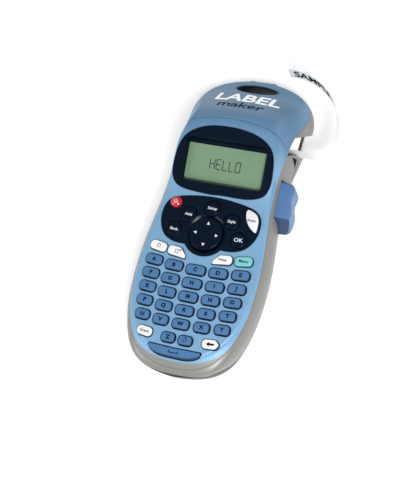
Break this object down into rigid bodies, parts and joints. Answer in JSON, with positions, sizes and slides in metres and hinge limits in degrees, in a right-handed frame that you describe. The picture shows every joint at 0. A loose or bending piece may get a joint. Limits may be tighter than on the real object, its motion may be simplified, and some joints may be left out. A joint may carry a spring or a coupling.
{
  "type": "label maker",
  "caption": "Handheld thermal label maker with a letter keypad, display, round navigation pad, hinged cassette door and a side cutter lever.",
  "frame": {"origin": "on the rest plane, below the centre of the navigation pad", "axes": "+X to the user's right, +Y from the keypad end to the head, +Z out of the keypad face"},
  "size_m": [0.1055, 0.2149, 0.0572],
  "materials": {
    "blue_shell": "metallic paint on plastic",
    "grey_shell": "satin",
    "cover_plastic": "fine texture",
    "fascia_plastic": "gloss",
    "lcd": "satin",
    "mat_rubber": "matt",
    "board": "satin",
    "cassette_plastic": "satin",
    "label": "satin",
    "head_metal": "machined",
    "platen_rubber": "matt",
    "gear_plastic": "satin",
    "motor_steel": "satin",
    "lever_plastic": "satin",
    "blade_steel": "polished",
    "cells": "printed wrap",
    "blue_keys": "satin",
    "white_keys": "satin",
    "teal_key": "satin",
    "dark_keys": "gloss",
    "red_key": "gloss"
  },
  "bodies": {
    "case": {"front_shell": "blue_shell", "back_shell": "grey_shell", "fascia": "fascia_plastic", "lcd_module": "lcd", "keypad_mat": "mat_rubber", "circuit_board": "board", "tape_cassette": "cassette_plastic", "label_tape": "label", "print_head": "head_metal", "feed_motor": "motor_steel", "batteries": "cells"},
    "battery_cover": {"battery_cover": "cover_plastic"},
    "cassette_door": {"cassette_door": "blue_shell"},
    "cutter_lever": {"cutter_lever": "lever_plastic"},
    "cutter_blade": {"cutter_blade": "blade_steel"},
    "drive_gear": {"drive_gear": "gear_plastic"},
    "platen": {"platen_roller": "platen_rubber"},
    "nav_pivot": {"nav_pivot": "gear_plastic"},
    "nav_pad": {"nav_pad": "dark_keys"},
    "key_a": {"key_a": "blue_keys"},
    "key_b": {"key_b": "blue_keys"},
    "key_c": {"key_c": "blue_keys"},
    "key_d": {"key_d": "blue_keys"},
    "key_e": {"key_e": "blue_keys"},
    "key_f": {"key_f": "blue_keys"},
    "key_g": {"key_g": "blue_keys"},
    "key_h": {"key_h": "blue_keys"},
    "key_i": {"key_i": "blue_keys"},
    "key_j": {"key_j": "blue_keys"},
    "key_k": {"key_k": "blue_keys"},
    "key_l": {"key_l": "blue_keys"},
    "key_m": {"key_m": "blue_keys"},
    "key_n": {"key_n": "blue_keys"},
    "key_o": {"key_o": "blue_keys"},
    "key_p": {"key_p": "blue_keys"},
    "key_q": {"key_q": "blue_keys"},
    "key_r": {"key_r": "blue_keys"},
    "key_s": {"key_s": "blue_keys"},
    "key_t": {"key_t": "blue_keys"},
    "key_u": {"key_u": "blue_keys"},
    "key_v": {"key_v": "blue_keys"},
    "key_w": {"key_w": "blue_keys"},
    "key_x": {"key_x": "blue_keys"},
    "key_y": {"key_y": "blue_keys"},
    "key_z": {"key_z": "blue_keys"},
    "key_symbol": {"key_symbol": "blue_keys"},
    "key_space": {"key_space": "blue_keys"},
    "key_caps": {"key_caps": "white_keys"},
    "key_numbers": {"key_numbers": "white_keys"},
    "key_preview": {"key_preview": "white_keys"},
    "key_clear": {"key_clear": "white_keys"},
    "key_backspace": {"key_backspace": "white_keys"},
    "key_print": {"key_print": "white_keys"},
    "key_menu": {"key_menu": "teal_key"},
    "key_insert": {"key_insert": "dark_keys"},
    "key_settings": {"key_settings": "dark_keys"},
    "key_format": {"key_format": "dark_keys"},
    "key_cancel": {"key_cancel": "dark_keys"},
    "key_ok": {"key_ok": "dark_keys"},
    "key_power": {"key_power": "red_key"}
  },
  "joints": [
    {"name": "battery_cover_slide", "type": "slide", "parent": "case", "child": "battery_cover", "axis": [0, -1, 0], "range_m": [0, 0.07]},
    {"name": "cassette_door_hinge", "type": "hinge", "parent": "case", "child": "cassette_door", "pos_m": [0, 0.1213, 0.01], "axis": [-1, 0, 0], "range_deg": [0, 38]},
    {"name": "cutter_lever_pivot", "type": "hinge", "parent": "case", "child": "cutter_lever", "pos_m": [0.0342, 0.019, 0.028], "axis": [0, 0, 1], "range_deg": [0, 6], "stiffness_Nm_per_rad": 1, "springref_deg": -2.86},
    {"name": "drive_gear_spin", "type": "hinge", "parent": "case", "child": "drive_gear", "pos_m": [0.02, 0.05362, 0.014], "axis": [0, 0, 1], "continuous": true},
    {"name": "cutter_blade_slide", "type": "slide", "parent": "case", "child": "cutter_blade", "axis": [0, 1, 0], "range_m": [0, 0.001]},
    {"name": "platen_spin", "type": "hinge", "parent": "case", "child": "platen", "pos_m": [0.02, 0.06413, 0.028], "axis": [0, 0, 1], "continuous": true},
    {"name": "nav_tilt_x", "type": "hinge", "parent": "case", "child": "nav_pivot", "pos_m": [0, 0, 0.0387], "axis": [1, 0, 0], "range_deg": [-3.5, 3.5], "stiffness_Nm_per_rad": 0.5},
    {"name": "nav_tilt_y", "type": "hinge", "parent": "nav_pivot", "child": "nav_pad", "pos_m": [0, 0, 0.0387], "axis": [0, 1, 0], "range_deg": [-3.5, 3.5], "stiffness_Nm_per_rad": 0.5},
    {"name": "key_print_press", "type": "slide", "parent": "case", "child": "key_print", "axis": [0, 0, -1], "range_m": [0, 0.001], "stiffness_N_per_m": 600, "springref_m": -0.0002},
    {"name": "key_power_press", "type": "slide", "parent": "case", "child": "key_power", "axis": [0, 0, -1], "range_m": [0, 0.001], "stiffness_N_per_m": 600, "springref_m": -0.0002},
    {"name": "key_ok_press", "type": "slide", "parent": "case", "child": "key_ok", "axis": [0, 0, -1], "range_m": [0, 0.001], "stiffness_N_per_m": 600, "springref_m": -0.0002},
    {"name": "key_space_press", "type": "slide", "parent": "case", "child": "key_space", "axis": [0, 0, -1], "range_m": [0, 0.001], "stiffness_N_per_m": 600, "springref_m": -0.0002},
    {"name": "key_menu_press", "type": "slide", "parent": "case", "child": "key_menu", "axis": [0, 0, -1], "range_m": [0, 0.001], "stiffness_N_per_m": 600, "springref_m": -0.0002},
    {"name": "key_backspace_press", "type": "slide", "parent": "case", "child": "key_backspace", "axis": [0, 0, -1], "range_m": [0, 0.001], "stiffness_N_per_m": 600, "springref_m": -0.0002},
    {"name": "key_caps_press", "type": "slide", "parent": "case", "child": "key_caps", "axis": [0, 0, -1], "range_m": [0, 0.001], "stiffness_N_per_m": 600, "springref_m": -0.0002},
    {"name": "key_settings_press", "type": "slide", "parent": "case", "child": "key_settings", "axis": [0, 0, -1], "range_m": [0, 0.001], "stiffness_N_per_m": 600, "springref_m": -0.0002},
    {"name": "key_a_press", "type": "slide", "parent": "case", "child": "key_a", "axis": [0, 0, -1], "range_m": [0, 0.001], "stiffness_N_per_m": 600, "springref_m": -0.0002},
    {"name": "key_m_press", "type": "slide", "parent": "case", "child": "key_m", "axis": [0, 0, -1], "range_m": [0, 0.001], "stiffness_N_per_m": 600, "springref_m": -0.0002},
    {"name": "key_b_press", "type": "slide", "parent": "case", "child": "key_b", "axis": [0, 0, -1], "range_m": [0, 0.001], "stiffness_N_per_m": 600, "springref_m": -0.0002},
    {"name": "key_c_press", "type": "slide", "parent": "case", "child": "key_c", "axis": [0, 0, -1], "range_m": [0, 0.001], "stiffness_N_per_m": 600, "springref_m": -0.0002},
    {"name": "key_d_press", "type": "slide", "parent": "case", "child": "key_d", "axis": [0, 0, -1], "range_m": [0, 0.001], "stiffness_N_per_m": 600, "springref_m": -0.0002},
    {"name": "key_e_press", "type": "slide", "parent": "case", "child": "key_e", "axis": [0, 0, -1], "range_m": [0, 0.001], "stiffness_N_per_m": 600, "springref_m": -0.0002},
    {"name": "key_f_press", "type": "slide", "parent": "case", "child": "key_f", "axis": [0, 0, -1], "range_m": [0, 0.001], "stiffness_N_per_m": 600, "springref_m": -0.0002},
    {"name": "key_g_press", "type": "slide", "parent": "case", "child": "key_g", "axis": [0, 0, -1], "range_m": [0, 0.001], "stiffness_N_per_m": 600, "springref_m": -0.0002},
    {"name": "key_h_press", "type": "slide", "parent": "case", "child": "key_h", "axis": [0, 0, -1], "range_m": [0, 0.001], "stiffness_N_per_m": 600, "springref_m": -0.0002},
    {"name": "key_i_press", "type": "slide", "parent": "case", "child": "key_i", "axis": [0, 0, -1], "range_m": [0, 0.001], "stiffness_N_per_m": 600, "springref_m": -0.0002},
    {"name": "key_j_press", "type": "slide", "parent": "case", "child": "key_j", "axis": [0, 0, -1], "range_m": [0, 0.001], "stiffness_N_per_m": 600, "springref_m": -0.0002},
    {"name": "key_k_press", "type": "slide", "parent": "case", "child": "key_k", "axis": [0, 0, -1], "range_m": [0, 0.001], "stiffness_N_per_m": 600, "springref_m": -0.0002},
    {"name": "key_l_press", "type": "slide", "parent": "case", "child": "key_l", "axis": [0, 0, -1], "range_m": [0, 0.001], "stiffness_N_per_m": 600, "springref_m": -0.0002},
    {"name": "key_n_press", "type": "slide", "parent": "case", "child": "key_n", "axis": [0, 0, -1], "range_m": [0, 0.001], "stiffness_N_per_m": 600, "springref_m": -0.0002},
    {"name": "key_o_press", "type": "slide", "parent": "case", "child": "key_o", "axis": [0, 0, -1], "range_m": [0, 0.001], "stiffness_N_per_m": 600, "springref_m": -0.0002},
    {"name": "key_p_press", "type": "slide", "parent": "case", "child": "key_p", "axis": [0, 0, -1], "range_m": [0, 0.001], "stiffness_N_per_m": 600, "springref_m": -0.0002},
    {"name": "key_q_press", "type": "slide", "parent": "case", "child": "key_q", "axis": [0, 0, -1], "range_m": [0, 0.001], "stiffness_N_per_m": 600, "springref_m": -0.0002},
    {"name": "key_r_press", "type": "slide", "parent": "case", "child": "key_r", "axis": [0, 0, -1], "range_m": [0, 0.001], "stiffness_N_per_m": 600, "springref_m": -0.0002},
    {"name": "key_s_press", "type": "slide", "parent": "case", "child": "key_s", "axis": [0, 0, -1], "range_m": [0, 0.001], "stiffness_N_per_m": 600, "springref_m": -0.0002},
    {"name": "key_t_press", "type": "slide", "parent": "case", "child": "key_t", "axis": [0, 0, -1], "range_m": [0, 0.001], "stiffness_N_per_m": 600, "springref_m": -0.0002},
    {"name": "key_u_press", "type": "slide", "parent": "case", "child": "key_u", "axis": [0, 0, -1], "range_m": [0, 0.001], "stiffness_N_per_m": 600, "springref_m": -0.0002},
    {"name": "key_v_press", "type": "slide", "parent": "case", "child": "key_v", "axis": [0, 0, -1], "range_m": [0, 0.001], "stiffness_N_per_m": 600, "springref_m": -0.0002},
    {"name": "key_w_press", "type": "slide", "parent": "case", "child": "key_w", "axis": [0, 0, -1], "range_m": [0, 0.001], "stiffness_N_per_m": 600, "springref_m": -0.0002},
    {"name": "key_x_press", "type": "slide", "parent": "case", "child": "key_x", "axis": [0, 0, -1], "range_m": [0, 0.001], "stiffness_N_per_m": 600, "springref_m": -0.0002},
    {"name": "key_y_press", "type": "slide", "parent": "case", "child": "key_y", "axis": [0, 0, -1], "range_m": [0, 0.001], "stiffness_N_per_m": 600, "springref_m": -0.0002},
    {"name": "key_z_press", "type": "slide", "parent": "case", "child": "key_z", "axis": [0, 0, -1], "range_m": [0, 0.001], "stiffness_N_per_m": 600, "springref_m": -0.0002},
    {"name": "key_symbol_press", "type": "slide", "parent": "case", "child": "key_symbol", "axis": [0, 0, -1], "range_m": [0, 0.001], "stiffness_N_per_m": 600, "springref_m": -0.0002},
    {"name": "key_numbers_press", "type": "slide", "parent": "case", "child": "key_numbers", "axis": [0, 0, -1], "range_m": [0, 0.001], "stiffness_N_per_m": 600, "springref_m": -0.0002},
    {"name": "key_preview_press", "type": "slide", "parent": "case", "child": "key_preview", "axis": [0, 0, -1], "range_m": [0, 0.001], "stiffness_N_per_m": 600, "springref_m": -0.0002},
    {"name": "key_clear_press", "type": "slide", "parent": "case", "child": "key_clear", "axis": [0, 0, -1], "range_m": [0, 0.001], "stiffness_N_per_m": 600, "springref_m": -0.0002},
    {"name": "key_insert_press", "type": "slide", "parent": "case", "child": "key_insert", "axis": [0, 0, -1], "range_m": [0, 0.001], "stiffness_N_per_m": 600, "springref_m": -0.0002},
    {"name": "key_format_press", "type": "slide", "parent": "case", "child": "key_format", "axis": [0, 0, -1], "range_m": [0, 0.001], "stiffness_N_per_m": 600, "springref_m": -0.0002},
    {"name": "key_cancel_press", "type": "slide", "parent": "case", "child": "key_cancel", "axis": [0, 0, -1], "range_m": [0, 0.001], "stiffness_N_per_m": 600, "springref_m": -0.0002}
  ],
  "couplings": [
    {"joint": "platen_spin", "follows": "drive_gear_spin", "ratio": -0.55556},
    {"joint": "cutter_blade_slide", "follows": "cutter_lever_pivot", "m_per_rad": 0.0085944}
  ]
}
